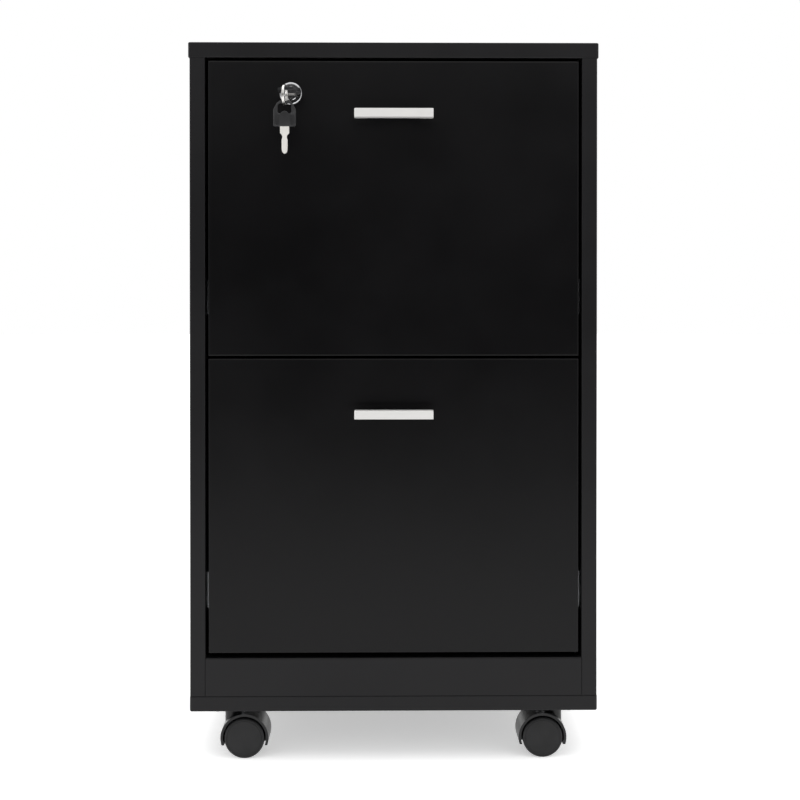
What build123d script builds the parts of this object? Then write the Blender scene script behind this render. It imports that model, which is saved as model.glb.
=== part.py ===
from build123d import *
import os

# Rolling pedestal cabinet: two file drawers in a board carcass, on four twin-wheel casters.
# Millimetres. +X is to the right seen from the front, the drawers face -Y and +Z is up.
# The origin is on the floor, at the centre of the whole object's footprint.

os.makedirs("parts", exist_ok=True)

# Overall size
WIDTH = 400.0
DEPTH = 400.0
HEIGHT = 702.0
CASTER_HEIGHT = 50.0

# Carcass boards
BOARD = 15.0
BODY_WIDTH = 397.0
BOTTOM_WIDTH = 398.0
BACK_BOARD = 12.0
PLINTH_HEIGHT = 37.0
BAND_R = 1.2

# Drawers
TOP_GAP = 3.0
FRONT_GAP = 2.5
SIDE_GAP = 3.0
PLINTH_GAP = 5.0
BOX_BOARD = 12.0
BOX_LENGTH = 350.0
BOX_HEIGHT = 220.0
BOX_RISE = 8.0
FLOOR_BOARD = 4.0
FLOOR_RISE = 10.0
GROOVE_DEPTH = 6.0
GROOVE_PLAY = 0.1

# Ball-bearing drawer slides, three nested channels
SLIDE_THICK = 12.7
SLIDE_LENGTH = 350.0
SLIDE_SHEET = 1.2
SLIDE_RISE = 50.0
SLIDE_SETBACK = 18.0
CABINET_MEMBER_H = 35.0
MIDDLE_MEMBER_H = 27.0
DRAWER_MEMBER_H = 19.0
CABINET_FLANGE_END = 11.0
MIDDLE_WEB_START = 3.4
MIDDLE_FLANGE_END = 11.2
DRAWER_FLANGE_START = 6.0

# Hanging-file rails that clip over the drawer sides
RAIL_SHEET = 1.2
RAIL_LIP = 10.0
RAIL_FIN = 8.0
RAIL_SPAN = 330.0
RAIL_PLAY = 0.2

# Bar handles
HANDLE_LENGTH = 76.0
HANDLE_HEIGHT = 8.4
HANDLE_REACH = 22.0
HANDLE_BAR = 10.5
HANDLE_LEG = 12.0
HANDLE_LEG_HEIGHT = 5.8
HANDLE_CENTRES = 64.0
HANDLE_DROP = 53.0

# Cam lock
LOCK_X = -100.0
LOCK_DROP = 32.0
BEZEL_R = 11.25
BEZEL_PROUD = 2.4
BEZEL_ROUND = 2.3
BARREL_R = 9.3
BARREL_END = 20.0
PLUG_R = 7.0
PLUG_END = 20.5
PLUG_PLAY = 0.06
NUT_ACROSS = 24.0
NUT_THICK = 3.5
KEYWAY_WIDTH = 5.9
KEYWAY_HEIGHT = 2.2
KEYWAY_END = 16.5
CAM_THICK = 2.0
CAM_REACH = 30.0
CAM_HALF = 6.0
CAM_HUB_R = 8.0
CAM_SQUARE = 8.0
STRIKE_WIDTH = 36.0
STRIKE_DROP = 15.0
STRIKE_DEPTH = 23.0
STRIKE_SHEET = 1.5
STRIKE_SETBACK = 17.0

# Keys and split ring
BOW_WIDTH = 21.5
BOW_LENGTH = 24.4
BOW_THICK = 3.2
BOW_RIM = 2.6
BOW_HOLE_WIDTH = 13.0
BOW_HOLE_LENGTH = 9.6
BOW_DOME_R = 4.2
BOW_DOME_V = 10.4
BOW_POCKET = 0.35
SHOULDER_WIDTH = 8.6
SHOULDER_LENGTH = 8.0
NECK_WIDTH = 4.3
NECK_LENGTH = 1.4
BLADE_WIDTH = 5.5
BLADE_THICK = 1.8
KEY_METAL = 25.7
RING_OUTER_R = 10.5
WIRE_R = 0.95
WIRE_PITCH = 1.7
RING_X = -103.6
RING_DROP = 6.3
SPARE_SLACK = 1.5

# Casters
CASTER_X = 159.5
CASTER_INSET = 30.0
TRAIL = 12.5
WHEEL_R = 19.75
WHEEL_IN = 8.8
WHEEL_OUT = 18.3
WHEEL_DOME = 0.6
HUB_R = 5.5
HUB_IN = 4.6
AXLE_R = 2.5
AXLE_PLAY = 0.08
AXLE_HALF = 17.0
HOOD_R = 23.6
HOOD_WALL = 2.4
HOOD_HALF = 17.4
HOOD_DROP = 7.0
HOOD_WEB_HALF = 4.0
BOSS_R = 8.2
BOSS_BOTTOM = 24.0
BOSS_TOP = 46.9
PLATE = 38.0
PLATE_THICK = 2.5
PLATE_HOLES = 28.0
KINGPIN_R = 4.0
KINGPIN_END = 28.0
KINGPIN_PLAY = 0.08

# Fasteners
SCREW_R = 1.8
SCREW_HEAD_R = 3.4
SCREW_HEAD = 1.7
SCREW_LENGTH = 12.0
SCREW_PLAY = 0.2
LONG_SCREW = 22.0
BOLT_R = 2.0
DOWEL_R = 4.0
DOWEL_LENGTH = 30.0
DOWEL_PLAY = 0.15
CAM_NUT_R = 7.5
CAM_NUT_DEPTH = 12.4
CAM_NUT_INSET = 34.0
CAM_BOLT_DEPTH = 9.0

# Worked-out planes
KEY_REACH = BEZEL_PROUD + SHOULDER_LENGTH + BOW_LENGTH - BOW_RIM / 2 + RING_OUTER_R
FRONT_Y = (KEY_REACH - DEPTH) / 2
BACK_Y = FRONT_Y + DEPTH
MID_Y = (FRONT_Y + BACK_Y) / 2
SIDE_BOTTOM = CASTER_HEIGHT + BOARD
SIDE_TOP = HEIGHT - BOARD
SIDE_HEIGHT = SIDE_TOP - SIDE_BOTTOM
OPENING_HALF = BODY_WIDTH / 2 - BOARD
SIDE_MID_X = OPENING_HALF + BOARD / 2
FRONTS_BOTTOM = SIDE_BOTTOM + PLINTH_HEIGHT + PLINTH_GAP
FRONTS_TOP = SIDE_TOP - TOP_GAP
FRONT_HEIGHT = (FRONTS_TOP - FRONTS_BOTTOM - FRONT_GAP) / 2
FRONT_BACK_Y = FRONT_Y + BOARD
BOX_OUT = OPENING_HALF - SLIDE_THICK
BOX_IN = BOX_OUT - BOX_BOARD
LOCK_Z = FRONTS_TOP - LOCK_DROP
PLUG_FACE_Y = FRONT_Y - BEZEL_PROUD
BOW_START_Y = PLUG_FACE_Y - SHOULDER_LENGTH
RIM_Y = BOW_START_Y - BOW_LENGTH + BOW_RIM / 2
RING_Z = LOCK_Z - RING_DROP
RING_WIRE_R = RING_OUTER_R - WIRE_R
SPARE_TOP_Z = RING_Z - RING_WIRE_R + SPARE_SLACK + BOW_RIM
CENTRED = (Align.CENTER, Align.CENTER, Align.CENTER)
UPWARD = (Align.CENTER, Align.CENTER, Align.MIN)
DOWNWARD = (Align.CENTER, Align.CENTER, Align.MAX)


def facing(points, direction):
    """Planes at some points with their normals in one direction, for holes and screws."""
    return [Plane(origin=point, z_dir=direction) for point in points]


# --- Where the fasteners go ---

JOINT_YS = (FRONT_Y + 45, BACK_Y - 75)
DOWEL_YS = (FRONT_Y + 85, BACK_Y - 115)
BACK_DOWEL_ZS = (SIDE_BOTTOM + 60, (SIDE_BOTTOM + SIDE_TOP) / 2, SIDE_TOP - 60)
PLINTH_MID_Y = FRONT_Y + BOARD / 2
PLINTH_DOWEL_ZS = (SIDE_BOTTOM + 10, SIDE_BOTTOM + PLINTH_HEIGHT - 10)
SLIDE_SCREW_YS = [FRONT_Y + SLIDE_SETBACK + offset for offset in (25, 165, 320)]
DRAWER_BOTTOMS = {"upper": FRONTS_BOTTOM + FRONT_HEIGHT + FRONT_GAP, "lower": FRONTS_BOTTOM}
SLIDE_ZS = [bottom + BOX_RISE + SLIDE_RISE for bottom in DRAWER_BOTTOMS.values()]
STRIKE_SCREWS = [(LOCK_X + dx, FRONT_Y + STRIKE_SETBACK + 14, SIDE_TOP) for dx in (-11, 11)]
CASTER_CENTRES = {
    "front_left": (-CASTER_X, FRONT_Y + CASTER_INSET),
    "front_right": (CASTER_X, FRONT_Y + CASTER_INSET),
    "rear_left": (-CASTER_X, BACK_Y - CASTER_INSET),
    "rear_right": (CASTER_X, BACK_Y - CASTER_INSET),
}
CASTER_SCREWS = [
    (x + dx, y + dy, CASTER_HEIGHT)
    for x, y in CASTER_CENTRES.values()
    for dx in (-PLATE_HOLES / 2, PLATE_HOLES / 2)
    for dy in (-PLATE_HOLES / 2, PLATE_HOLES / 2)
]


# --- Carcass ---

with BuildPart() as top_panel:
    with BuildSketch(Plane.XY.offset(SIDE_TOP)):
        with Locations((0, MID_Y)):
            RectangleRounded(WIDTH, DEPTH, 2.5)
    extrude(amount=BOARD)
    fillet(top_panel.faces().sort_by(Axis.Z)[-1].edges(), BAND_R)
    fillet(top_panel.faces().sort_by(Axis.Z)[0].edges(), BAND_R)
    bolts = [(side * SIDE_MID_X, y, SIDE_TOP) for side in (-1, 1) for y in JOINT_YS]
    pegs = [(side * SIDE_MID_X, y, SIDE_TOP) for side in (-1, 1) for y in DOWEL_YS]
    with Locations(*facing(bolts, (0, 0, -1))):
        Hole(radius=3.0 + SCREW_PLAY, depth=CAM_BOLT_DEPTH + 1)
    with Locations(*facing(pegs, (0, 0, -1))):
        Hole(radius=DOWEL_R + DOWEL_PLAY, depth=11)
    with Locations(*facing(STRIKE_SCREWS, (0, 0, -1))):
        Hole(radius=SCREW_R + SCREW_PLAY, depth=SCREW_LENGTH)
top_panel.part.label = "top_panel"
export_step(top_panel.part, "parts/top_panel.step")

with BuildPart() as bottom_panel:
    with BuildSketch(Plane.XY.offset(CASTER_HEIGHT)):
        with Locations((0, MID_Y)):
            RectangleRounded(BOTTOM_WIDTH, DEPTH, 2.5)
    extrude(amount=BOARD)
    fillet(bottom_panel.faces().sort_by(Axis.Z)[-1].edges(), BAND_R)
    fillet(bottom_panel.faces().sort_by(Axis.Z)[0].edges(), BAND_R)
    bolts = [(side * SIDE_MID_X, y, SIDE_BOTTOM) for side in (-1, 1) for y in JOINT_YS]
    pegs = [(side * SIDE_MID_X, y, SIDE_BOTTOM) for side in (-1, 1) for y in DOWEL_YS]
    with Locations(*facing(bolts, (0, 0, 1))):
        Hole(radius=3.0 + SCREW_PLAY, depth=CAM_BOLT_DEPTH + 1)
    with Locations(*facing(pegs, (0, 0, 1))):
        Hole(radius=DOWEL_R + DOWEL_PLAY, depth=11)
    with Locations(*facing(CASTER_SCREWS, (0, 0, -1))):
        Hole(radius=SCREW_R + SCREW_PLAY, depth=SCREW_LENGTH)
bottom_panel.part.label = "bottom_panel"
export_step(bottom_panel.part, "parts/bottom_panel.step")

for name, side in (("left_side_panel", -1), ("right_side_panel", 1)):
    inner_x = side * OPENING_HALF
    mid_x = side * SIDE_MID_X
    inward = (-side, 0, 0)
    with BuildPart() as side_panel:
        with BuildSketch(Plane(origin=(mid_x, MID_Y, SIDE_BOTTOM))):
            Rectangle(BOARD, DEPTH)
        extrude(amount=SIDE_HEIGHT)
        fillet(side_panel.edges().filter_by(Axis.Z), BAND_R)
        # cam-nut pockets open to the inside, with a bore for each bolt from the board's end
        for end_z, up in ((SIDE_TOP, 1), (SIDE_BOTTOM, -1)):
            nut_z = end_z - up * CAM_NUT_INSET
            with Locations(*facing([(inner_x, y, nut_z) for y in JOINT_YS], inward)):
                Hole(radius=CAM_NUT_R + DOWEL_PLAY, depth=CAM_NUT_DEPTH + 0.2)
            with Locations(*facing([(mid_x, y, end_z) for y in JOINT_YS], (0, 0, up))):
                Hole(radius=4.0, depth=CAM_NUT_INSET)
            with Locations(*facing([(mid_x, y, end_z) for y in DOWEL_YS], (0, 0, up))):
                Hole(radius=DOWEL_R + DOWEL_PLAY, depth=DOWEL_LENGTH - 9)
        with Locations(*facing([(inner_x, BACK_Y - BACK_BOARD / 2, z) for z in BACK_DOWEL_ZS], inward)):
            Hole(radius=DOWEL_R + DOWEL_PLAY, depth=10)
        with Locations(*facing([(inner_x, PLINTH_MID_Y, z) for z in PLINTH_DOWEL_ZS], inward)):
            Hole(radius=DOWEL_R + DOWEL_PLAY, depth=10)
        with Locations(*facing([(inner_x, y, z) for y in SLIDE_SCREW_YS for z in SLIDE_ZS], inward)):
            Hole(radius=SCREW_R + SCREW_PLAY, depth=SCREW_LENGTH)
    side_panel.part.label = name
    export_step(side_panel.part, f"parts/{name}.step")

with BuildPart() as plinth_rail:
    with BuildSketch(Plane.XY.offset(SIDE_BOTTOM)):
        with Locations((0, PLINTH_MID_Y)):
            Rectangle(2 * OPENING_HALF, BOARD)
    extrude(amount=PLINTH_HEIGHT)
    fillet(plinth_rail.edges().filter_by(Axis.X).group_by(Axis.Z)[-1], BAND_R)
    for side in (-1, 1):
        ends = [(side * OPENING_HALF, PLINTH_MID_Y, z) for z in PLINTH_DOWEL_ZS]
        with Locations(*facing(ends, (side, 0, 0))):
            Hole(radius=DOWEL_R + DOWEL_PLAY, depth=DOWEL_LENGTH - 9)
plinth_rail.part.label = "plinth_rail"
export_step(plinth_rail.part, "parts/plinth_rail.step")

with BuildPart() as back_panel:
    with BuildSketch(Plane.XY.offset(SIDE_BOTTOM)):
        with Locations((0, BACK_Y - BACK_BOARD / 2)):
            Rectangle(2 * OPENING_HALF, BACK_BOARD)
    extrude(amount=SIDE_HEIGHT)
    for side in (-1, 1):
        ends = [(side * OPENING_HALF, BACK_Y - BACK_BOARD / 2, z) for z in BACK_DOWEL_ZS]
        with Locations(*facing(ends, (side, 0, 0))):
            Hole(radius=DOWEL_R + DOWEL_PLAY, depth=DOWEL_LENGTH - 9)
back_panel.part.label = "back_panel"
export_step(back_panel.part, "parts/back_panel.step")

# Cam bolt: screwed into the top or bottom board, its head caught in a cam nut.
with BuildPart() as cam_bolt:
    with BuildSketch(Plane.XZ):
        with BuildLine():
            Polyline(
                (0, CAM_BOLT_DEPTH), (2.6, CAM_BOLT_DEPTH), (3.0, CAM_BOLT_DEPTH - 1), (3.0, 0), (3.6, 0),
                (3.6, -1.2), (2.2, -2), (2.2, 2.5 - CAM_NUT_INSET), (3.2, 1.5 - CAM_NUT_INSET),
                (3.2, -2 - CAM_NUT_INSET), (0, -2 - CAM_NUT_INSET), close=True,
            )
        make_face()
    revolve(axis=Axis.Z)

# Cam nut: a slotted disc with a radial bore that the bolt's head enters.
with BuildPart() as cam_nut:
    Cylinder(CAM_NUT_R, CAM_NUT_DEPTH, align=DOWNWARD)
    with Locations((0, 0, -BOARD / 2)):
        Cylinder(3.6, CAM_NUT_R + 1, rotation=(-90, 0, 0), align=UPWARD, mode=Mode.SUBTRACT)
        Sphere(4.4, mode=Mode.SUBTRACT)
    with Locations((0, 0, 0), Location((0, 0, 0), (0, 0, 90))):
        Box(9, 1.4, 3, align=CENTRED, mode=Mode.SUBTRACT)

# A dowel with chamfered ends, standing on its plane from one end.
with BuildPart() as dowel:
    Cylinder(DOWEL_R, DOWEL_LENGTH, align=CENTRED)
    chamfer(dowel.edges(), 0.8)

with BuildPart() as cam_bolts:
    for side in (-1, 1):
        for end_z, up in ((SIDE_TOP, 1), (SIDE_BOTTOM, -1)):
            places = [(side * SIDE_MID_X, y, end_z) for y in JOINT_YS]
            with Locations(*facing(places, (0, 0, up))):
                add(cam_bolt.part)
cam_bolts.part.label = "cam_bolts"
export_step(cam_bolts.part, "parts/cam_bolts.step")

with BuildPart() as cam_nuts:
    for side in (-1, 1):
        for end_z, up in ((SIDE_TOP, 1), (SIDE_BOTTOM, -1)):
            for y in JOINT_YS:
                centre = (side * OPENING_HALF, y, end_z - up * CAM_NUT_INSET)
                with Locations(Plane(origin=centre, x_dir=(0, -side * up, 0), z_dir=(-side, 0, 0))):
                    add(cam_nut.part)
cam_nuts.part.label = "cam_nuts"
export_step(cam_nuts.part, "parts/cam_nuts.step")

with BuildPart() as wood_dowels:
    upright = [
        (side * SIDE_MID_X, y, end_z + up * (10 - DOWEL_LENGTH / 2))
        for side in (-1, 1)
        for end_z, up in ((SIDE_TOP, 1), (SIDE_BOTTOM, -1))
        for y in DOWEL_YS
    ]
    with Locations(*facing(upright, (0, 0, 1))):
        add(dowel.part)
    reach = OPENING_HALF + 9.5 - DOWEL_LENGTH / 2
    lying = [(side * reach, BACK_Y - BACK_BOARD / 2, z) for side in (-1, 1) for z in BACK_DOWEL_ZS]
    lying += [(side * reach, PLINTH_MID_Y, z) for side in (-1, 1) for z in PLINTH_DOWEL_ZS]
    with Locations(*facing(lying, (1, 0, 0))):
        add(dowel.part)
wood_dowels.part.label = "wood_dowels"
export_step(wood_dowels.part, "parts/wood_dowels.step")

# Lock strike: a steel angle under the top board, which the raised cam catches behind.
with BuildPart() as lock_strike:
    strike_front = (LOCK_X, FRONT_Y + STRIKE_SETBACK, SIDE_TOP)
    with BuildSketch(Plane(origin=strike_front, x_dir=(0, 1, 0), z_dir=(1, 0, 0))):
        with BuildLine():
            Polyline(
                (0, 0), (STRIKE_DEPTH, 0), (STRIKE_DEPTH, -STRIKE_SHEET), (STRIKE_SHEET, -STRIKE_SHEET),
                (STRIKE_SHEET, -STRIKE_DROP), (0, -STRIKE_DROP), close=True,
            )
        make_face()
    extrude(amount=STRIKE_WIDTH / 2, both=True)
    with Locations(*facing(STRIKE_SCREWS, (0, 0, 1))):
        Hole(radius=SCREW_R + SCREW_PLAY, depth=STRIKE_SHEET + 1)
lock_strike.part.label = "lock_strike"
export_step(lock_strike.part, "parts/lock_strike.step")


# --- Screws ---

def pan_screw(length):
    """A cross-recessed pan-head screw: head above its plane, shank below it, with a pointed end."""
    with BuildPart() as screw:
        with BuildSketch(Plane.XZ):
            with BuildLine():
                Polyline(
                    (0, SCREW_HEAD), (SCREW_HEAD_R - 1, SCREW_HEAD), (SCREW_HEAD_R, SCREW_HEAD / 2),
                    (SCREW_HEAD_R, 0), (SCREW_R, 0), (SCREW_R, 2.5 - length), (0, -length), close=True,
                )
            make_face()
        revolve(axis=Axis.Z)
        with Locations((0, 0, SCREW_HEAD), Location((0, 0, SCREW_HEAD), (0, 0, 90))):
            Box(3.4, 0.9, 1.8, align=CENTRED, mode=Mode.SUBTRACT)
    return screw.part


short_screw = pan_screw(SCREW_LENGTH)
long_screw = pan_screw(LONG_SCREW)

with BuildPart() as wood_screws:
    for side in (-1, 1):
        seats = [(side * (OPENING_HALF - SLIDE_SHEET), y, z) for y in SLIDE_SCREW_YS for z in SLIDE_ZS]
        with Locations(*facing(seats, (-side, 0, 0))):
            add(short_screw)
    with Locations(*facing([(x, y, z - STRIKE_SHEET) for x, y, z in STRIKE_SCREWS], (0, 0, -1))):
        add(short_screw)
    with Locations(*facing([(x, y, z - PLATE_THICK) for x, y, z in CASTER_SCREWS], (0, 0, -1))):
        add(short_screw)
wood_screws.part.label = "wood_screws"
export_step(wood_screws.part, "parts/wood_screws.step")


# --- Drawer slides ---

def channel(side, z, height, span, web_first):
    """One pressed channel of a slide, from the first to the last distance off the side board."""
    low, high = span
    front_end = (side * OPENING_HALF, FRONT_Y + SLIDE_SETBACK, z)
    plane = Plane(origin=front_end, x_dir=(-side, 0, 0), z_dir=(0, side, 0))
    with BuildPart() as member:
        with BuildSketch(plane):
            with Locations((low, 0)):
                Rectangle(high - low, height, align=(Align.MIN, Align.CENTER))
            with Locations((low + SLIDE_SHEET if web_first else low, 0)):
                Rectangle(
                    high - low - SLIDE_SHEET, height - 2 * SLIDE_SHEET, align=(Align.MIN, Align.CENTER),
                    mode=Mode.SUBTRACT,
                )
        extrude(amount=side * SLIDE_LENGTH)
    return member.part


with BuildPart() as slide_cabinet_members:
    for side in (-1, 1):
        for z in SLIDE_ZS:
            add(channel(side, z, CABINET_MEMBER_H, (0, CABINET_FLANGE_END), True))
        seats = [(side * OPENING_HALF, y, z) for y in SLIDE_SCREW_YS for z in SLIDE_ZS]
        with Locations(*facing(seats, (-side, 0, 0))):
            Hole(radius=SCREW_R + SCREW_PLAY, depth=SLIDE_SHEET + 1)
slide_cabinet_members.part.label = "slide_cabinet_members"
export_step(slide_cabinet_members.part, "parts/slide_cabinet_members.step")

for drawer, slide_z in zip(DRAWER_BOTTOMS, SLIDE_ZS):
    with BuildPart() as slide_middles:
        for side in (-1, 1):
            add(channel(side, slide_z, MIDDLE_MEMBER_H, (MIDDLE_WEB_START, MIDDLE_FLANGE_END), True))
    slide_middles.part.label = f"{drawer}_slide_middle_members"
    export_step(slide_middles.part, f"parts/{drawer}_slide_middle_members.step")


# --- Drawers ---

for drawer, front_bottom in DRAWER_BOTTOMS.items():
    box_bottom = front_bottom + BOX_RISE
    box_top = box_bottom + BOX_HEIGHT
    floor_z = box_bottom + FLOOR_RISE
    slide_z = box_bottom + SLIDE_RISE
    handle_z = front_bottom + FRONT_HEIGHT - HANDLE_DROP
    end_ys = (FRONT_BACK_Y + BOX_BOARD / 2, FRONT_BACK_Y + BOX_LENGTH - BOX_BOARD / 2)
    corner_zs = (box_bottom + 26, box_top - 30)
    handle_holes = [(dx, FRONT_BACK_Y, handle_z) for dx in (-HANDLE_CENTRES / 2, HANDLE_CENTRES / 2)]
    front_fixings = [(dx, FRONT_BACK_Y + BOX_BOARD, z) for dx in (-110, 110) for z in corner_zs]
    member_ys = [FRONT_Y + SLIDE_SETBACK + offset for offset in (50, 190, 335)]

    with BuildPart() as drawer_front:
        with BuildSketch(Plane(origin=(0, FRONT_Y, 0), x_dir=(1, 0, 0), z_dir=(0, -1, 0))):
            with Locations((0, front_bottom + FRONT_HEIGHT / 2)):
                Rectangle(2 * (OPENING_HALF - SIDE_GAP), FRONT_HEIGHT)
        extrude(amount=-BOARD)
        fillet(drawer_front.faces().sort_by(Axis.Y)[0].edges(), BAND_R)
        with Locations(*facing(handle_holes, (0, 1, 0))):
            Hole(radius=BOLT_R + SCREW_PLAY, depth=BOARD)
        with Locations(*facing([(x, FRONT_BACK_Y, z) for x, y, z in front_fixings], (0, 1, 0))):
            Hole(radius=SCREW_R + SCREW_PLAY, depth=LONG_SCREW - BOX_BOARD + 0.5)
        if drawer == "upper":
            with Locations(Plane(origin=(LOCK_X, FRONT_BACK_Y, LOCK_Z), z_dir=(0, 1, 0))):
                Hole(radius=BARREL_R + SCREW_PLAY, depth=BOARD)
    drawer_front.part.label = f"{drawer}_drawer_front"
    export_step(drawer_front.part, f"parts/{drawer}_drawer_front.step")

    with BuildPart() as drawer_sides:
        for side in (-1, 1):
            with BuildSketch(Plane(origin=(side * (BOX_IN + BOX_OUT) / 2, FRONT_BACK_Y, box_bottom))):
                Rectangle(BOX_BOARD, BOX_LENGTH, align=(Align.CENTER, Align.MIN))
            extrude(amount=BOX_HEIGHT)
            with BuildSketch(Plane(origin=(side * BOX_IN, FRONT_BACK_Y, floor_z - GROOVE_PLAY))):
                Rectangle(2 * (GROOVE_DEPTH + 0.3), BOX_LENGTH, align=(Align.CENTER, Align.MIN))
            extrude(amount=FLOOR_BOARD + 2 * GROOVE_PLAY, mode=Mode.SUBTRACT)
            outer_x = side * BOX_OUT
            with Locations(*facing([(outer_x, y, z) for y in end_ys for z in corner_zs], (side, 0, 0))):
                CounterBoreHole(
                    SCREW_R + SCREW_PLAY, SCREW_HEAD_R + SCREW_PLAY, SCREW_HEAD + 0.1, BOX_BOARD,
                )
            with Locations(*facing([(outer_x, y, slide_z) for y in member_ys], (side, 0, 0))):
                Hole(radius=SCREW_R + SCREW_PLAY, depth=BOX_BOARD - 0.8)
    drawer_sides.part.label = f"{drawer}_drawer_sides"
    export_step(drawer_sides.part, f"parts/{drawer}_drawer_sides.step")

    with BuildPart() as drawer_ends:
        for end_y in end_ys:
            with BuildSketch(Plane.XY.offset(floor_z + FLOOR_BOARD)):
                with Locations((0, end_y)):
                    Rectangle(2 * BOX_IN, BOX_BOARD)
            extrude(amount=box_top - floor_z - FLOOR_BOARD)
        for side in (-1, 1):
            corners = [(side * BOX_IN, y, z) for y in end_ys for z in corner_zs]
            with Locations(*facing(corners, (side, 0, 0))):
                Hole(radius=SCREW_R + SCREW_PLAY, depth=LONG_SCREW - BOX_BOARD + 3)
        with Locations(*facing(front_fixings, (0, 1, 0))):
            Hole(radius=SCREW_R + SCREW_PLAY, depth=BOX_BOARD)
    drawer_ends.part.label = f"{drawer}_drawer_ends"
    export_step(drawer_ends.part, f"parts/{drawer}_drawer_ends.step")

    with BuildPart() as drawer_floor:
        with BuildSketch(Plane.XY.offset(floor_z)):
            with Locations((0, FRONT_BACK_Y)):
                Rectangle(2 * (BOX_IN + GROOVE_DEPTH), BOX_LENGTH, align=(Align.CENTER, Align.MIN))
        extrude(amount=FLOOR_BOARD)
    drawer_floor.part.label = f"{drawer}_drawer_floor"
    export_step(drawer_floor.part, f"parts/{drawer}_drawer_floor.step")

    with BuildPart() as file_rails:
        for side in (-1, 1):
            cap_in = BOX_IN - RAIL_PLAY - RAIL_SHEET
            cap_width = BOX_BOARD + 2 * (RAIL_PLAY + RAIL_SHEET)
            hollow_width = cap_width - 2 * RAIL_SHEET
            rail_start = (0, end_ys[0] + BOX_BOARD / 2 + 1, box_top)
            with BuildSketch(Plane(origin=rail_start, x_dir=(side, 0, 0), z_dir=(0, -side, 0))):
                with Locations((cap_in, RAIL_SHEET)):
                    Rectangle(cap_width, RAIL_LIP + RAIL_SHEET, align=(Align.MIN, Align.MAX))
                with Locations((cap_in + RAIL_SHEET, 0)):
                    Rectangle(hollow_width, RAIL_LIP, align=(Align.MIN, Align.MAX), mode=Mode.SUBTRACT)
                with Locations((RAIL_SPAN / 2, 0)):
                    Rectangle(RAIL_SHEET, RAIL_SHEET + RAIL_FIN, align=(Align.CENTER, Align.MIN))
            extrude(amount=-side * (BOX_LENGTH - 2 * BOX_BOARD - 2))
    file_rails.part.label = f"{drawer}_file_rails"
    export_step(file_rails.part, f"parts/{drawer}_file_rails.step")

    with BuildPart() as slide_drawer_members:
        for side in (-1, 1):
            add(channel(side, slide_z, DRAWER_MEMBER_H, (DRAWER_FLANGE_START, SLIDE_THICK), False))
            with Locations(*facing([(side * BOX_OUT, y, slide_z) for y in member_ys], (side, 0, 0))):
                Hole(radius=SCREW_R + SCREW_PLAY, depth=SLIDE_SHEET + 1)
    slide_drawer_members.part.label = f"{drawer}_slide_drawer_members"
    export_step(slide_drawer_members.part, f"parts/{drawer}_slide_drawer_members.step")

    with BuildPart() as drawer_screws:
        for side in (-1, 1):
            corners = [(side * (BOX_OUT - SCREW_HEAD - 0.1), y, z) for y in end_ys for z in corner_zs]
            with Locations(*facing(corners, (side, 0, 0))):
                add(long_screw)
            on_slide = [(side * (BOX_OUT + SLIDE_SHEET), y, slide_z) for y in member_ys]
            with Locations(*facing(on_slide, (side, 0, 0))):
                add(short_screw)
        with Locations(*facing(front_fixings, (0, 1, 0))):
            add(long_screw)
    drawer_screws.part.label = f"{drawer}_drawer_screws"
    export_step(drawer_screws.part, f"parts/{drawer}_drawer_screws.step")

    # a square bar on two lower legs
    with BuildPart() as handle:
        with BuildSketch(Plane.XY.offset(handle_z - HANDLE_HEIGHT / 2)):
            with Locations((0, FRONT_Y - HANDLE_REACH + HANDLE_BAR / 2)):
                Rectangle(HANDLE_LENGTH, HANDLE_BAR)
        extrude(amount=HANDLE_HEIGHT)
        fillet(handle.edges().filter_by(Axis.Z), 1.2)
        fillet(handle.faces().sort_by(Axis.Z)[-1].edges(), 0.6)
        with BuildSketch(Plane.XY.offset(handle_z - HANDLE_LEG_HEIGHT / 2)):
            leg_x = (HANDLE_LENGTH - HANDLE_LEG) / 2 - 0.6
            with Locations((-leg_x, FRONT_Y), (leg_x, FRONT_Y)):
                Rectangle(
                    HANDLE_LEG, HANDLE_REACH - HANDLE_BAR + 3, align=(Align.CENTER, Align.MAX),
                )
        extrude(amount=HANDLE_LEG_HEIGHT)
        with Locations(*facing([(x, FRONT_Y, z) for x, y, z in handle_holes], (0, 1, 0))):
            Hole(radius=BOLT_R + SCREW_PLAY, depth=10)
    handle.part.label = f"{drawer}_handle"
    export_step(handle.part, f"parts/{drawer}_handle.step")

    with BuildPart() as handle_screws:
        with Locations(*facing(handle_holes, (0, 1, 0))):
            Cylinder(4.0, 2.4, align=UPWARD)
            Cylinder(BOLT_R, BOARD + 8, align=DOWNWARD)
        with Locations(*facing([(x, y + 2.4, z) for x, y, z in handle_holes], (0, 1, 0))):
            Box(4.6, 1.0, 1.8, align=CENTRED, mode=Mode.SUBTRACT)
            Box(1.0, 4.6, 1.8, align=CENTRED, mode=Mode.SUBTRACT)
    handle_screws.part.label = f"{drawer}_handle_screws"
    export_step(handle_screws.part, f"parts/{drawer}_handle_screws.step")


# --- Cam lock ---

LOCK_FRONT = Plane(origin=(LOCK_X, FRONT_Y, LOCK_Z), x_dir=(1, 0, 0), z_dir=(0, -1, 0))

with BuildPart() as lock_housing:
    with BuildSketch(LOCK_FRONT):
        Circle(BEZEL_R)
        Circle(PLUG_R + PLUG_PLAY, mode=Mode.SUBTRACT)
    extrude(amount=BEZEL_PROUD)
    front_circles = lock_housing.edges().filter_by(GeomType.CIRCLE).group_by(Axis.Y)[0]
    fillet(front_circles.sort_by(SortBy.RADIUS)[-1], BEZEL_ROUND)
    with BuildSketch(LOCK_FRONT):
        Circle(BARREL_R)
        Circle(PLUG_R + PLUG_PLAY, mode=Mode.SUBTRACT)
    extrude(amount=-BARREL_END)
lock_housing.part.label = "lock_housing"
export_step(lock_housing.part, "parts/lock_housing.step")

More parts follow.
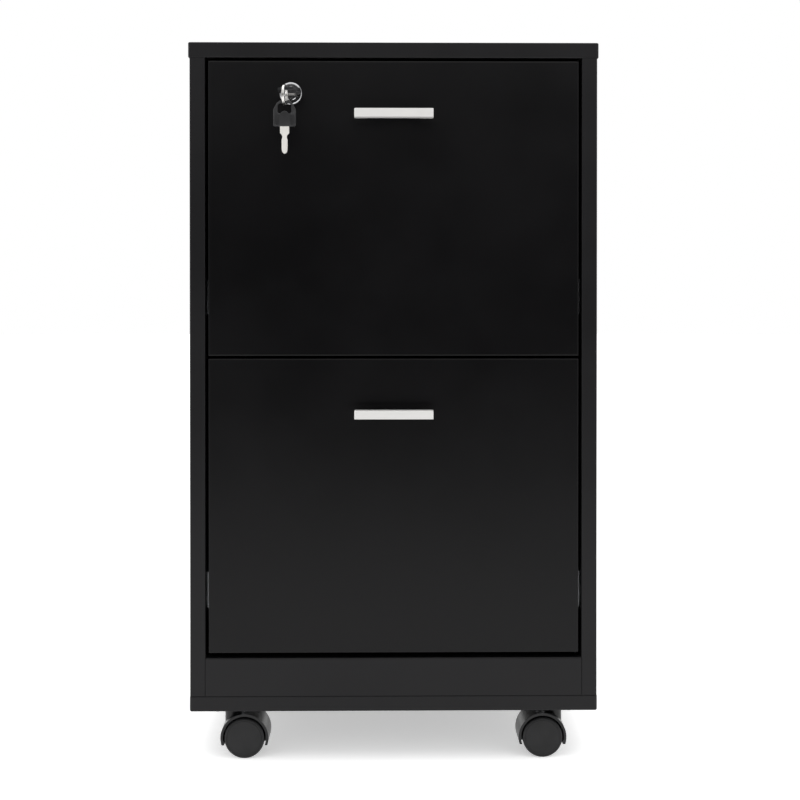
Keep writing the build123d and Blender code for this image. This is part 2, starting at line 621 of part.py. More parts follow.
with BuildPart() as lock_nut:
    with BuildSketch(LOCK_FRONT.offset(-BOARD)):
        RegularPolygon(radius=NUT_ACROSS / 2, side_count=6, major_radius=False)
        Circle(BARREL_R + 0.1, mode=Mode.SUBTRACT)
    extrude(amount=-NUT_THICK)
lock_nut.part.label = "lock_nut"
export_step(lock_nut.part, "parts/lock_nut.step")

with BuildPart() as lock_plug:
    with BuildSketch(LOCK_FRONT.offset(BEZEL_PROUD)):
        Circle(PLUG_R)
    extrude(amount=-(PLUG_END + BEZEL_PROUD))
    chamfer(lock_plug.edges().group_by(Axis.Y)[0], 0.5)
    chamfer(lock_plug.edges().filter_by(GeomType.CIRCLE).group_by(Axis.Y)[0], 0.5)
    with BuildSketch(LOCK_FRONT.offset(-PLUG_END)):
        Rectangle(CAM_SQUARE, CAM_SQUARE)
    extrude(amount=-CAM_THICK)
    with BuildSketch(LOCK_FRONT.offset(BEZEL_PROUD)):
        Rectangle(KEYWAY_WIDTH, KEYWAY_HEIGHT)
    extrude(amount=-(KEYWAY_END + BEZEL_PROUD), mode=Mode.SUBTRACT)
    with Locations(Plane(origin=(LOCK_X, FRONT_Y + PLUG_END + CAM_THICK, LOCK_Z), z_dir=(0, 1, 0))):
        Hole(radius=BOLT_R + 0.1, depth=5)
lock_plug.part.label = "lock_plug"
export_step(lock_plug.part, "parts/lock_plug.step")

with BuildPart() as lock_cam:
    with BuildSketch(LOCK_FRONT.offset(-PLUG_END)):
        Circle(CAM_HUB_R)
        Rectangle(CAM_REACH - CAM_HALF, 2 * CAM_HALF, align=(Align.MAX, Align.CENTER))
        with Locations((CAM_HALF - CAM_REACH, 0)):
            Circle(CAM_HALF)
        Rectangle(CAM_SQUARE + 0.2, CAM_SQUARE + 0.2, mode=Mode.SUBTRACT)
    extrude(amount=-CAM_THICK)
lock_cam.part.label = "lock_cam"
export_step(lock_cam.part, "parts/lock_cam.step")

with BuildPart() as cam_screw:
    with Locations(Plane(origin=(LOCK_X, FRONT_Y + PLUG_END + CAM_THICK, LOCK_Z), z_dir=(0, 1, 0))):
        Cylinder(5.6, 2.2, align=UPWARD)
        Cylinder(BOLT_R, 4.6, align=DOWNWARD)
    with Locations(Plane(origin=(LOCK_X, FRONT_Y + PLUG_END + CAM_THICK + 2.2, LOCK_Z), z_dir=(0, 1, 0))):
        Box(5.0, 1.1, 2.0, align=CENTRED, mode=Mode.SUBTRACT)
        Box(1.1, 5.0, 2.0, align=CENTRED, mode=Mode.SUBTRACT)
cam_screw.part.label = "cam_screw"
export_step(cam_screw.part, "parts/cam_screw.step")


# --- Keys: a moulded bow on a flat metal blade, drawn from the bow's shoulder along local +Y ---

def key_bow(plane):
    """The moulded bow: a wide hole in a round rim, and a domed panel between two shallow pockets."""
    half = BOW_WIDTH / 2
    with BuildPart() as bow:
        with BuildSketch(plane):
            with BuildLine():
                FilletPolyline(
                    (-half, 0), (-half, BOW_LENGTH - 8.5), (-half + 3.2, BOW_LENGTH - 2.4),
                    (-4.5, BOW_LENGTH), (4.5, BOW_LENGTH),
                    (half - 3.2, BOW_LENGTH - 2.4), (half, BOW_LENGTH - 8.5), (half, 0),
                    close=True, radius=1.6,
                )
            make_face()
            with Locations((0, BOW_LENGTH - BOW_RIM - BOW_HOLE_LENGTH / 2)):
                RectangleRounded(BOW_HOLE_WIDTH, BOW_HOLE_LENGTH, 2.6, mode=Mode.SUBTRACT)
            with Locations((0, BOW_DOME_V)):
                Circle(BOW_DOME_R)
        extrude(amount=BOW_THICK / 2, both=True)
        fillet(bow.faces().filter_by(plane).edges(), 0.9)
        for face in (-1, 1):
            with BuildSketch(plane.offset(face * BOW_THICK / 2)):
                with Locations((-7.0, 6.4), (7.0, 6.4)):
                    RectangleRounded(3.0, 9.4, 0.8)
            extrude(amount=-face * BOW_POCKET, mode=Mode.SUBTRACT)
        # the slot that the blade's tang is moulded into
        with BuildSketch(plane):
            Rectangle(SHOULDER_WIDTH, 2 * SHOULDER_LENGTH)
        extrude(amount=BLADE_THICK / 2 + 0.05, both=True, mode=Mode.SUBTRACT)
    return bow.part


def key_blade(plane):
    """The metal: a tang in the bow, a wide shoulder, a neck and a blade with a rounded tip."""
    tip = -KEY_METAL
    neck_start = -(SHOULDER_LENGTH + 1.0)
    neck_end = neck_start - NECK_LENGTH
    wide = SHOULDER_WIDTH / 2 - 0.05
    neck = NECK_WIDTH / 2
    blade = BLADE_WIDTH / 2
    edge = [
        (wide, SHOULDER_LENGTH - 0.1), (wide, 1.6 - SHOULDER_LENGTH), (blade, -SHOULDER_LENGTH),
        (neck, neck_start), (neck, neck_end), (blade, neck_end - 2.2), (blade, tip + 4.2),
        (0.8 * blade, tip + 1.6), (0.4 * blade, tip + 0.3), (0, tip),
    ]
    with BuildPart() as metal:
        with BuildSketch(plane):
            with BuildLine():
                Polyline(*edge, *[(-x, y) for x, y in reversed(edge[:-1])], close=True)
            make_face()
        extrude(amount=BLADE_THICK / 2, both=True)
    return metal.part


INSERTED_KEY = Plane(origin=(LOCK_X, BOW_START_Y, LOCK_Z), x_dir=(-1, 0, 0), z_dir=(0, 0, 1))
SPARE_KEY = Plane(origin=(RING_X, RIM_Y, SPARE_TOP_Z - BOW_LENGTH), x_dir=(1, 0, 0), z_dir=(0, -1, 0))

for name, plane in (("inserted_key", INSERTED_KEY), ("spare_key", SPARE_KEY)):
    with BuildPart() as bow:
        add(key_bow(plane))
    bow.part.label = f"{name}_bow"
    export_step(bow.part, f"parts/{name}_bow.step")
    with BuildPart() as blade:
        add(key_blade(plane))
    blade.part.label = f"{name}_blade"
    export_step(blade.part, f"parts/{name}_blade.step")

# Split ring: two turns of wire side by side, hanging from the inserted key's rim.
with BuildPart() as key_ring:
    with BuildSketch(Plane(origin=(RING_X, RIM_Y, RING_Z), x_dir=(1, 0, 0), z_dir=(0, -1, 0))):
        with Locations((-WIRE_PITCH / 2, RING_WIRE_R), (WIRE_PITCH / 2, RING_WIRE_R)):
            Circle(WIRE_R)
    revolve(axis=Axis((RING_X, RIM_Y, RING_Z), (1, 0, 0)))
key_ring.part.label = "key_ring"
export_step(key_ring.part, "parts/key_ring.step")


# --- Casters ---

with BuildPart() as caster_plates:
    for x, y in CASTER_CENTRES.values():
        with BuildSketch(Plane(origin=(x, y, CASTER_HEIGHT - PLATE_THICK))):
            RectangleRounded(PLATE, PLATE, 4)
            with GridLocations(PLATE_HOLES, PLATE_HOLES, 2, 2):
                Circle(SCREW_R + SCREW_PLAY, mode=Mode.SUBTRACT)
        extrude(amount=PLATE_THICK)
        with BuildSketch(Plane(origin=(x, y, KINGPIN_END))):
            Circle(KINGPIN_R)
        extrude(amount=CASTER_HEIGHT - PLATE_THICK - KINGPIN_END)
caster_plates.part.label = "caster_plates"
export_step(caster_plates.part, "parts/caster_plates.step")

for corner, (stem_x, stem_y) in CASTER_CENTRES.items():
    side = 1 if stem_x > 0 else -1
    axle_x = stem_x - side * TRAIL
    across = Plane(origin=(axle_x, stem_y, WHEEL_R), x_dir=(1, 0, 0), z_dir=(0, -1, 0))
    axle_line = Axis((axle_x, stem_y, WHEEL_R), (0, 1, 0))

    with BuildPart() as hood:
        # the fender over both wheels, open below, with tips that end under the axle's height
        with BuildSketch(across):
            Circle(HOOD_R)
            Circle(HOOD_R - HOOD_WALL, mode=Mode.SUBTRACT)
            with Locations((0, -HOOD_DROP)):
                Rectangle(2 * HOOD_R + 2, HOOD_R, align=(Align.CENTER, Align.MAX), mode=Mode.SUBTRACT)
        extrude(amount=HOOD_HALF, both=True)
        # the web between the wheels, which carries the axle
        with BuildSketch(across):
            Circle(HOOD_R - 0.4)
            with Locations((0, -HOOD_DROP)):
                Rectangle(2 * HOOD_R + 2, HOOD_R, align=(Align.CENTER, Align.MAX), mode=Mode.SUBTRACT)
        extrude(amount=HOOD_WEB_HALF, both=True)
        # the boss that turns on the kingpin
        with BuildSketch(Plane(origin=(stem_x, stem_y, BOSS_BOTTOM))):
            Circle(BOSS_R)
        extrude(amount=BOSS_TOP - BOSS_BOTTOM)
        with Locations(Plane(origin=(stem_x, stem_y, BOSS_TOP), z_dir=(0, 0, 1))):
            Hole(radius=KINGPIN_R + KINGPIN_PLAY, depth=BOSS_TOP - KINGPIN_END + 0.4)
        with Locations(Plane(origin=(axle_x, stem_y + HOOD_WEB_HALF, WHEEL_R), z_dir=(0, 1, 0))):
            Hole(radius=AXLE_R + 0.05, depth=2 * HOOD_WEB_HALF + 1)
    hood.part.label = f"{corner}_caster_hood"
    export_step(hood.part, f"parts/{corner}_caster_hood.step")

    with BuildPart() as axle:
        with BuildSketch(across):
            Circle(AXLE_R)
        extrude(amount=AXLE_HALF, both=True)
        chamfer(axle.edges().filter_by(GeomType.CIRCLE), 0.5)
    axle.part.label = f"{corner}_caster_axle"
    export_step(axle.part, f"parts/{corner}_caster_axle.step")

    for wheel_name, way in (("near", -1), ("far", 1)):
        half_section = Plane(origin=(axle_x, stem_y, WHEEL_R), x_dir=(0, 0, 1), z_dir=(-way, 0, 0))
        with BuildPart() as wheel:
            with BuildSketch(half_section):
                bore = AXLE_R + AXLE_PLAY
                face_r = WHEEL_R - 1.5
                with BuildLine():
                    Polyline(
                        (0, WHEEL_OUT + WHEEL_DOME), (0, AXLE_HALF + 0.2),
                        (bore, AXLE_HALF + 0.2), (bore, HUB_IN),
                        (HUB_R, HUB_IN), (HUB_R, WHEEL_OUT - 3), (WHEEL_R - 4, WHEEL_OUT - 3),
                        (WHEEL_R - 4, WHEEL_IN), (WHEEL_R - 0.8, WHEEL_IN), (WHEEL_R, WHEEL_IN + 0.8),
                        (WHEEL_R, WHEEL_OUT - 1.4), (face_r, WHEEL_OUT),
                        (face_r / 2, WHEEL_OUT + 0.75 * WHEEL_DOME),
                        (face_r / 4, WHEEL_OUT + WHEEL_DOME), close=True,
                    )
                make_face()
            revolve(axis=axle_line)
        wheel.part.label = f"{corner}_{wheel_name}_wheel"
        export_step(wheel.part, f"parts/{corner}_{wheel_name}_wheel.step")
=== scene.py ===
import bpy, bmesh, math
from mathutils import Euler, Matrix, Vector


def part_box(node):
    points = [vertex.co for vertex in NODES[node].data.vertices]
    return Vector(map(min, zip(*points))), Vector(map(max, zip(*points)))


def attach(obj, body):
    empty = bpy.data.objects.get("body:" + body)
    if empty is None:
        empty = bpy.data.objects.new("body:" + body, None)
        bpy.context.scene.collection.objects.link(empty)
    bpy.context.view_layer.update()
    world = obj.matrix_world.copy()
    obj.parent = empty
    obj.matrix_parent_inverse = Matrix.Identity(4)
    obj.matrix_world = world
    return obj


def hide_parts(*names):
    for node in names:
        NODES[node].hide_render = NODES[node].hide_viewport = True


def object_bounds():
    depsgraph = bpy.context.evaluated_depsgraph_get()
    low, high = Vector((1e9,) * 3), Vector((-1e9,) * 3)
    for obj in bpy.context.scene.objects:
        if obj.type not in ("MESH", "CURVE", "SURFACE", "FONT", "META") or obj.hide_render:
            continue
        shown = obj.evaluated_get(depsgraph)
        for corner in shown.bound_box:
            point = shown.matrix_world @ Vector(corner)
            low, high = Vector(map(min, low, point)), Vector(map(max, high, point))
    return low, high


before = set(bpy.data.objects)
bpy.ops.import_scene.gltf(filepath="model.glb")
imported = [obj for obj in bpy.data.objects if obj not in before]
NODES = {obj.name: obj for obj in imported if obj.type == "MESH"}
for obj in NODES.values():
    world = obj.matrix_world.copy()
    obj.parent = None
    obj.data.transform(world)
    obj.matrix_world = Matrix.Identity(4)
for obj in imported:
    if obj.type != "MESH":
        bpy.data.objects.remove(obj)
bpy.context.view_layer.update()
SCENE = bpy.context.scene
CORNERS = ("front_left", "front_right", "rear_left", "rear_right")
DRAWERS = ("upper", "lower")

FRONT_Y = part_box("left_side_panel")[0].y


# ---------------------------------------------------------------- node helpers

class Graph:
    """A small helper that builds one material's node tree."""

    def __init__(self, name, metallic=0.0, specular=0.5):
        self.material = bpy.data.materials.new(name)
        self.material.use_nodes = True
        self.tree = self.material.node_tree
        self.shader = self.tree.nodes["Principled BSDF"]
        self.shader.inputs["Metallic"].default_value = metallic
        self.shader.inputs["Specular IOR Level"].default_value = specular
        self.place = self.node("ShaderNodeTexCoord").outputs["Object"]

    def node(self, kind, **settings):
        made = self.tree.nodes.new(kind)
        for key, value in settings.items():
            setattr(made, key, value)
        return made

    def link(self, source, target):
        self.tree.links.new(source, target)

    def stretched(self, scale):
        """The place vector scaled by a factor on each axis."""
        mapping = self.node("ShaderNodeMapping")
        mapping.inputs["Scale"].default_value = scale
        self.link(self.place, mapping.inputs["Vector"])
        return mapping.outputs["Vector"]

    def noise(self, scale, detail=2.0, roughness=0.5, vector=None):
        made = self.node("ShaderNodeTexNoise")
        made.inputs["Scale"].default_value = scale
        made.inputs["Detail"].default_value = detail
        made.inputs["Roughness"].default_value = roughness
        self.link(self.place if vector is None else vector, made.inputs["Vector"])
        return made.outputs["Fac"]

    def cells(self, scale, vector=None):
        made = self.node("ShaderNodeTexVoronoi", feature="F1")
        made.inputs["Scale"].default_value = scale
        self.link(self.place if vector is None else vector, made.inputs["Vector"])
        return made.outputs["Distance"]

    def ramp(self, value, low, high, out_low, out_high):
        """A value mapped from one range to another, and held at the ends."""
        made = self.node("ShaderNodeMapRange")
        ends = {"From Min": low, "From Max": high, "To Min": out_low, "To Max": out_high}
        for key, number in ends.items():
            made.inputs[key].default_value = number
        self.link(value, made.inputs["Value"])
        return made.outputs["Result"]

    def math(self, operation, first, second):
        made = self.node("ShaderNodeMath", operation=operation)
        for socket, value in zip(made.inputs, (first, second)):
            if isinstance(value, (int, float)):
                socket.default_value = value
            else:
                self.link(value, socket)
        return made.outputs["Value"]

    def colours(self, factor, first, second):
        made = self.node("ShaderNodeMix", data_type="RGBA")
        self.link(factor, made.inputs[0])
        for socket, value in ((made.inputs[6], first), (made.inputs[7], second)):
            if isinstance(value, tuple):
                socket.default_value = (*value, 1.0)
            else:
                self.link(value, socket)
        return made.outputs[2]

    def edges(self, low, high):
        """Rises from 0 to 1 where a surface turns sharply outwards; it places a painted edge highlight."""
        pointiness = self.node("ShaderNodeNewGeometry").outputs["Pointiness"]
        return self.ramp(pointiness, low, high, 0.0, 1.0)

    def finish(self, colour, roughness, heights=()):
        """Links colour, roughness and a chain of (height, strength, distance) bumps to the shader."""
        self.link(colour, self.shader.inputs["Base Color"])
        self.link(roughness, self.shader.inputs["Roughness"])
        normal = None
        for height, strength, distance in heights:
            bump = self.node("ShaderNodeBump")
            bump.inputs["Strength"].default_value = strength
            bump.inputs["Distance"].default_value = distance
            self.link(height, bump.inputs["Height"])
            if normal is not None:
                self.link(normal, bump.inputs["Normal"])
            normal = bump.outputs["Normal"]
        if normal is not None:
            self.link(normal, self.shader.inputs["Normal"])
        return self.material


# ---------------------------------------------------------------- materials

def melamine(name, dark, light, seams=(), gloss=0.0):
    """Black melamine board: fine pearl texture, faint mottling, and seams where the edge band starts."""
    g = Graph(name, specular=0.2)
    pearl = g.noise(1400, 3.0, 0.6)
    cloud = g.noise(9, 3.0, 0.55)
    specks = g.ramp(g.cells(900), 0.05, 0.2, 1.0, 0.0)
    tone = g.math("ADD", g.ramp(cloud, 0.35, 0.65, 0.0, 0.6), g.ramp(pearl, 0.3, 0.7, 0.0, 0.4))
    colour = g.colours(tone, dark, light)
    split = g.node("ShaderNodeSeparateXYZ")
    g.link(g.place, split.inputs[0])
    seam = None
    for axis, position in seams:
        offset = g.math("ABSOLUTE", g.math("SUBTRACT", split.outputs[axis], position), 0.0)
        line = g.ramp(offset, 0.00012, 0.0003, 1.0, 0.0)
        seam = line if seam is None else g.math("MAXIMUM", seam, line)
    sheen = g.math("ADD", cloud, g.math("MULTIPLY", pearl, 0.5))
    roughness = g.ramp(sheen, 0.45, 1.05, 0.37 - gloss, 0.46 - gloss)
    heights = [(pearl, 0.10, 0.00012), (specks, 0.05, 0.0001)]
    if seam is not None:
        colour = g.colours(seam, colour, (0.003, 0.003, 0.003))
        heights.append((g.math("SUBTRACT", 1.0, seam), 0.35, 0.0002))
    return g.finish(colour, roughness, heights)


def brushed(name, dark, light, grain, roughness_low, roughness_high, strength=0.08, metallic=1.0):
    """Metal with fine brushing: grain gives the noise scale on each axis, longest along the brushing."""
    g = Graph(name, metallic=metallic)
    lines = g.noise(1.0, 4.0, 0.6, g.stretched(grain))
    cloud = g.noise(60, 2.0, 0.5)
    tone = g.math("ADD", g.math("MULTIPLY", lines, 0.6), g.math("MULTIPLY", cloud, 0.4))
    colour = g.colours(tone, dark, light)
    roughness = g.ramp(lines, 0.3, 0.7, roughness_low, roughness_high)
    return g.finish(colour, roughness, [(lines, strength, 0.00005)])


def chrome(name):
    """Polished plate with faint polishing marks and fingerprints."""
    g = Graph(name, metallic=1.0)
    prints = g.noise(220, 4.0, 0.6)
    marks = g.noise(1.0, 3.0, 0.5, g.stretched((900, 120, 900)))
    colour = g.colours(prints, (0.36, 0.36, 0.37), (0.52, 0.52, 0.53))
    roughness = g.ramp(g.math("ADD", prints, g.math("MULTIPLY", marks, 0.4)), 0.4, 1.0, 0.07, 0.24)
    return g.finish(colour, roughness, [(marks, 0.04, 0.00005)])


def moulded(name, dark, light, rough_low, rough_high, texture=1200, strength=0.12, specular=0.4):
    """Moulded black plastic: an even spark-eroded texture, slight tonal variation, and a painted highlight
    that makes sharp outward edges paler.
    """
    g = Graph(name, specular=specular)
    grain = g.noise(texture, 3.0, 0.6)
    cloud = g.noise(70, 2.0, 0.5)
    edge_highlight = g.edges(0.52, 0.6)
    tone = g.colours(g.ramp(cloud, 0.35, 0.65, 0.0, 1.0), dark, light)
    # painted highlight: sharp outward edges are lightened towards three times the light tone
    colour = g.colours(g.math("MULTIPLY", edge_highlight, 0.35), tone, tuple(3.0 * c for c in light))
    roughness = g.ramp(grain, 0.3, 0.7, rough_low, rough_high)
    return g.finish(colour, roughness, [(grain, strength, 0.00015)])


def zinc(name, dark, light):
    """Bright zinc plating: soft crystalline patches over fine rolling marks."""
    g = Graph(name, metallic=1.0)
    patches = g.cells(260)
    rolling = g.noise(1.0, 3.0, 0.5, g.stretched((500, 30, 500)))
    tone = g.math("ADD", g.math("MULTIPLY", patches, 0.5), g.math("MULTIPLY", rolling, 0.5))
    colour = g.colours(tone, dark, light)
    roughness = g.ramp(rolling, 0.3, 0.7, 0.26, 0.42)
    return g.finish(colour, roughness, [(rolling, 0.06, 0.00005)])


def beech(name):
    """Fluted beech dowel: straight grain with darker flecks."""
    g = Graph(name, specular=0.3)
    grain = g.noise(1.0, 4.0, 0.6, g.stretched((600, 600, 60)))
    flecks = g.ramp(g.cells(700), 0.1, 0.3, 1.0, 0.0)
    colour = g.colours(grain, (0.42, 0.28, 0.16), (0.66, 0.48, 0.30))
    colour = g.colours(g.math("MULTIPLY", flecks, 0.4), colour, (0.25, 0.15, 0.08))
    return g.finish(colour, g.ramp(grain, 0.3, 0.7, 0.5, 0.65), [(grain, 0.15, 0.0001)])


def studio_floor(name):
    """Matte white studio paper with the faintest mottling."""
    g = Graph(name, specular=0.1)
    cloud = g.noise(3, 2.0, 0.5)
    colour = g.colours(cloud, (0.90, 0.90, 0.90), (0.93, 0.93, 0.93))
    g.shader.inputs["Emission Color"].default_value = (1, 1, 1, 1)
    g.shader.inputs["Emission Strength"].default_value = 0.45
    return g.finish(colour, g.ramp(cloud, 0.3, 0.7, 0.85, 0.95))


def dress(names, material):
    """Gives CAD nodes one material in place of their own."""
    for name in names:
        mesh = NODES[name].data
        mesh.materials.clear()
        mesh.materials.append(material)


BAND = 0.0011  # thickness of the edge band


def seams_of(name, axes):
    """Seam positions just inside a board's edges, on the given axes."""
    low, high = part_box(name)
    return [(axis, value) for axis in axes for value in (low[axis] + BAND, high[axis] - BAND)]


SATIN_DARK, SATIN_LIGHT = (0.0060, 0.0058, 0.0064), (0.0092, 0.0089, 0.0097)
FRONT_DARK, FRONT_LIGHT = (0.0012, 0.0011, 0.0014), (0.0026, 0.0024, 0.0029)
for board in ("top_panel", "bottom_panel"):
    dress([board], melamine(board + "_melamine", SATIN_DARK, SATIN_LIGHT, seams_of(board, (0, 1))))
for board in ("left_side_panel", "right_side_panel"):
    dress([board], melamine(board + "_melamine", SATIN_DARK, SATIN_LIGHT, seams_of(board, (1,))))
for drawer in DRAWERS:
    front = f"{drawer}_drawer_front"
    dress([front], melamine(front + "_melamine", FRONT_DARK, FRONT_LIGHT, seams_of(front, (0, 2)), 0.07))
dress(["plinth_rail", "back_panel"], melamine("plain_melamine", SATIN_DARK, SATIN_LIGHT))
BOX_BOARD = melamine("box_board", (0.016, 0.0155, 0.015), (0.026, 0.025, 0.024))
for drawer in DRAWERS:
    dress([f"{drawer}_drawer_{part}" for part in ("sides", "ends", "floor")], BOX_BOARD)
ZINC = zinc("zinc_plate", (0.42, 0.43, 0.45), (0.60, 0.61, 0.63))
# painted shade: the lock strike is given near-black zinc so it stays dark in the gap above the upper drawer
dress(["lock_strike"], zinc("black_zinc", (0.020, 0.020, 0.022), (0.040, 0.040, 0.044)))
dress(["cam_bolts", "wood_screws", "slide_cabinet_members", "lock_nut", "lock_cam", "cam_screw"], ZINC)
for drawer in DRAWERS:
    dress([f"{drawer}_slide_middle_members", f"{drawer}_slide_drawer_members"], ZINC)
    dress([f"{drawer}_drawer_screws", f"{drawer}_handle_screws"], ZINC)
dress(["cam_nuts"], zinc("cast_zinc", (0.36, 0.36, 0.37), (0.50, 0.50, 0.51)))
dress(["wood_dowels"], beech("beech"))
dress([f"{d}_file_rails" for d in DRAWERS],
      brushed("anodised_rail", (0.50, 0.51, 0.52), (0.62, 0.63, 0.64), (900, 12, 900), 0.28, 0.40))
NICKEL = brushed("satin_nickel", (0.66, 0.652, 0.638), (0.74, 0.732, 0.718), (40, 900, 900), 0.40, 0.50,
                 metallic=0.35)
dress([f"{d}_handle" for d in DRAWERS], NICKEL)
dress(["lock_housing", "lock_plug"], chrome("lock_chrome"))
KEY_STEEL = brushed("key_steel", (0.74, 0.72, 0.68), (0.84, 0.82, 0.78), (700, 60, 60), 0.34, 0.46,
                    metallic=0.4)
dress(["inserted_key_blade", "spare_key_blade", "key_ring"], KEY_STEEL)
RING_STEEL = brushed("ring_steel", (0.62, 0.61, 0.59), (0.80, 0.79, 0.77), (300, 300, 300), 0.16, 0.28)
KEY_PLASTIC = moulded("key_plastic", (0.010, 0.010, 0.011), (0.020, 0.020, 0.021), 0.38, 0.5, 1800)
dress(["inserted_key_bow", "spare_key_bow"], KEY_PLASTIC)
HOOD_PLASTIC = moulded("caster_nylon", (0.0035, 0.0035, 0.0038), (0.0065, 0.0065, 0.0070), 0.26, 0.36,
                       1100, 0.08, 0.3)
WHEEL_PLASTIC = moulded("wheel_nylon", (0.0050, 0.0050, 0.0054), (0.0085, 0.0085, 0.0092), 0.30, 0.40,
                        900, 0.08, 0.3)
dress([f"{c}_caster_hood" for c in CORNERS], HOOD_PLASTIC)
dress([f"{c}_{w}_wheel" for c in CORNERS for w in ("near", "far")], WHEEL_PLASTIC)
dress([f"{c}_caster_axle" for c in CORNERS] + ["caster_plates"],
      zinc("caster_zinc", (0.36, 0.37, 0.39), (0.52, 0.53, 0.55)))


# ---------------------------------------------------------------- pieces that stand for plain CAD nodes

def new_piece(name, mesh, material, smooth=True):
    """Turns a bmesh into an object of the scene."""
    bmesh.ops.recalc_face_normals(mesh, faces=mesh.faces)
    data = bpy.data.meshes.new(name)
    mesh.to_mesh(data)
    mesh.free()
    for polygon in data.polygons:
        polygon.use_smooth = smooth
    data.materials.append(material)
    piece = bpy.data.objects.new(name, data)
    SCENE.collection.objects.link(piece)
    return piece


def keep_creases(piece, degrees=32):
    """Marks the edges that are too sharp to be shaded as one smooth surface."""
    mesh = bmesh.new()
    mesh.from_mesh(piece.data)
    for edge in mesh.edges:
        if len(edge.link_faces) == 2:
            edge.smooth = edge.calc_face_angle() < math.radians(degrees)
    mesh.to_mesh(piece.data)
    mesh.free()


def wheel_profile():
    """Half of one wheel's section as (radius, distance from the caster's middle), outer face first."""
    radius, roll = 0.019745, 0.0017             # the tread, and the rolled edge beside the face
    face_middle, face_edge = 0.0189, 0.0183     # how far out the domed face stands
    tread_in, tread_bevel, tread_wall = 0.0088, 0.0009, 0.0040
    web = 0.0153                                # the back of the face
    hub_root, hub_tip, hub_in = 0.0056, 0.0055, 0.0046
    bore, bore_end = 0.00258, 0.0172
    ring, ring_half_width, groove = 0.0171, 0.0004, 0.00022
    face_steps, roll_steps = 12, 6
    flat = radius - roll

    def dome(r):
        return face_middle - (face_middle - face_edge) * (r / flat) ** 2

    spots = [flat * step / face_steps for step in range(face_steps + 1)]
    profile = [(r, dome(r)) for r in spots if abs(r - ring) > 2 * ring_half_width]
    profile += [(ring - ring_half_width, dome(ring)), (ring - groove, dome(ring) - groove),
                (ring + groove, dome(ring) - groove), (ring + ring_half_width, dome(ring))]
    profile.sort()
    for step in range(1, roll_steps + 1):
        angle = math.radians(90 * step / roll_steps)
        profile.append((flat + roll * math.sin(angle), face_edge - roll * (1 - math.cos(angle))))
    profile += [(radius, tread_in + tread_bevel), (radius - tread_bevel, tread_in),
                (radius - tread_wall, tread_in), (radius - tread_wall, web),
                (hub_root, web), (hub_tip, hub_in), (bore, hub_in), (bore, bore_end)]
    return profile


def turn_profile(profile, centre, way, segments=112):
    """Revolves a profile about a line along Y through centre; way is -1 or 1 for the side it faces."""
    mesh = bmesh.new()
    rings = []
    for radius, distance in profile:
        y = centre.y + way * distance
        if radius < 1e-6:
            rings.append([mesh.verts.new((centre.x, y, centre.z))])
            continue
        ring = []
        for step in range(segments):
            angle = 2 * math.pi * step / segments
            x, z = centre.x + radius * math.cos(angle), centre.z + radius * math.sin(angle)
            ring.append(mesh.verts.new((x, y, z)))
        rings.append(ring)
    for first, second in zip(rings, rings[1:]):
        for step in range(segments):
            after = (step + 1) % segments
            if len(first) == 1:
                mesh.faces.new((first[0], second[step], second[after]))
            else:
                mesh.faces.new((first[step], first[after], second[after], second[step]))
    bore_end = mesh.verts.new((centre.x, centre.y + way * profile[-1][1], centre.z))
    for step in range(segments):
        mesh.faces.new((rings[-1][step], rings[-1][(step + 1) % segments], bore_end))
    return mesh


def build_wheels():
    """Each caster's two wheels: a domed face with a fine ring, a rolled edge and a hollow back."""
    for corner in CORNERS:
        near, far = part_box(f"{corner}_near_wheel"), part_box(f"{corner}_far_wheel")
        centre = (near[0] + far[1]) / 2
        for name, way in (("near", -1), ("far", 1)):
            node = f"{corner}_{name}_wheel"
            piece = new_piece(f"{node}_turned", turn_profile(wheel_profile(), centre, way), WHEEL_PLASTIC)
            keep_creases(piece)
            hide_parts(node)
            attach(piece, node)


def build_ring():
    """The split ring: one wire wound twice round, stepping across where its ends lie."""
    low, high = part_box("key_ring")
    centre = (low + high) / 2
    wire, cad_wire = 0.00066, 0.00095  # radius here, and in the plainer CAD ring
    overlap = 0.00002                  # so that the two turns touch
    path_radius = (high.z - low.z) / 2 - 2 * cad_wire + wire
    shift = wire - overlap
    twist = math.radians(-6.5)
    axle = Vector((math.cos(twist), math.sin(twist), 0))
    turns, steps, sides = 2.03, 260, 14
    start = math.radians(118)
    crossing = 0.09  # turns from the middle of the wire to where it has stepped fully across
    mesh = bmesh.new()
    rings = []
    for step in range(steps + 1):
        angle = start + turns * 2 * math.pi * step / steps
        across = (turns * step / steps - turns / 2) / crossing
        sideways = shift * max(-1.0, min(1.0, across))
        inward = math.cos(angle) * Vector((-axle.y, axle.x, 0)) + math.sin(angle) * Vector((0, 0, 1))
        middle = centre + axle * sideways + inward * path_radius
        ring = []
        for side in range(sides):
            turn = 2 * math.pi * side / sides
            ring.append(mesh.verts.new(middle + wire * (inward * math.cos(turn) + axle * math.sin(turn))))
        rings.append(ring)
    for first, second in zip(rings, rings[1:]):
        for side in range(sides):
            after = (side + 1) % sides
            mesh.faces.new((first[side], first[after], second[after], second[side]))
    mesh.faces.new(rings[0])
    mesh.faces.new(rings[-1])
    piece = new_piece("split_ring_wire", mesh, RING_STEEL)
    keep_creases(piece, 50)
    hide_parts("key_ring")
    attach(piece, "key_ring")


build_wheels()
build_ring()


# ---------------------------------------------------------------- studio

def area_light(name, place, aim, size, power):
    """A rectangular softbox at a place, turned towards its aim."""
    data = bpy.data.lights.new(name, "AREA")
    data.shape = "RECTANGLE"
    data.size, data.size_y = size
    data.energy = power
    light = bpy.data.objects.new(name, data)
    SCENE.collection.objects.link(light)
    light.location = place
    light.rotation_euler = (Vector(aim) - Vector(place)).to_track_quat("-Z", "Y").to_euler()
    return light


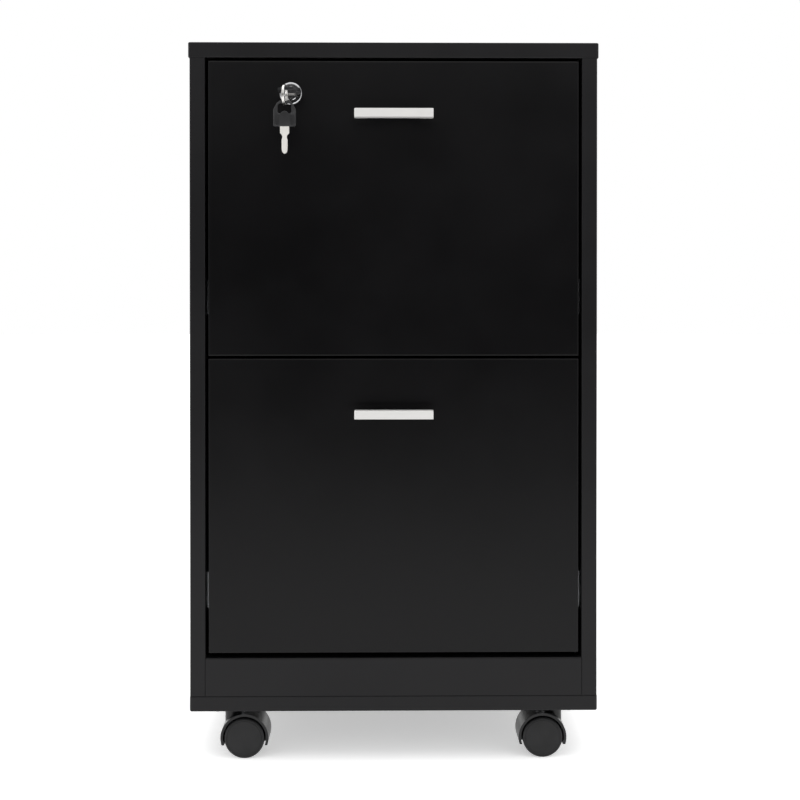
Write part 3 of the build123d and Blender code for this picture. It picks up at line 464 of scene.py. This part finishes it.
def build_floor():
    """A large plain disc of white paper, level with the floor."""
    mesh = bmesh.new()
    bmesh.ops.create_circle(mesh, cap_ends=True, segments=96, radius=14)
    data = bpy.data.meshes.new("studio_floor")
    mesh.to_mesh(data)
    mesh.free()
    floor = bpy.data.objects.new("studio_floor", data)
    floor.location = (0, 0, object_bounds()[0][2] - 0.0002)
    data.materials.append(studio_floor("studio_paper"))
    SCENE.collection.objects.link(floor)


def dark_card(name, width, height, place):
    """An upright black card behind the camera that only reflections see, as a photographer's flag."""
    mesh = bmesh.new()
    bmesh.ops.create_grid(mesh, x_segments=1, y_segments=1, size=0.5)
    data = bpy.data.meshes.new(name)
    mesh.to_mesh(data)
    mesh.free()
    card = bpy.data.objects.new(name, data)
    card.scale = (width, height, 1)
    card.rotation_euler = (math.radians(90), 0, 0)
    card.location = place
    g = Graph(name + "_felt", specular=0.0)
    cloud = g.noise(20, 2.0, 0.5)
    data.materials.append(g.finish(g.colours(cloud, (0.01, 0.01, 0.01), (0.02, 0.02, 0.02)), cloud))
    SCENE.collection.objects.link(card)
    card.visible_camera = False
    card.visible_diffuse = False
    card.visible_shadow = False


def build_world():
    """An even white studio."""
    world = bpy.data.worlds.new("studio")
    SCENE.world = world
    world.use_nodes = True
    background = world.node_tree.nodes["Background"]
    background.inputs["Color"].default_value = (1, 1, 1, 1)
    background.inputs["Strength"].default_value = 1.0


def build_camera():
    """A long lens held almost level below the upper drawer's middle, shifted down a little for the casters."""
    data = bpy.data.cameras.new("camera")
    data.lens = 60
    data.sensor_width = 36
    data.shift_x = -0.0011
    data.shift_y = -0.12
    camera = bpy.data.objects.new("camera", data)
    camera.location = (-0.0090, FRONT_Y - 1.2988, 0.4571)
    camera.rotation_euler = Euler((math.radians(89.574), 0, math.radians(-0.7036)), "XYZ")
    SCENE.collection.objects.link(camera)
    SCENE.camera = camera


build_floor()
build_world()
build_camera()
dark_card("flag", 3.0, 0.95, (0, -1.56, 0.49))
area_light("overhead", (0, -0.2, 3.2), (0, 0, 0.3), (4.0, 4.0), 45)
SCENE.view_settings.view_transform = "Standard"
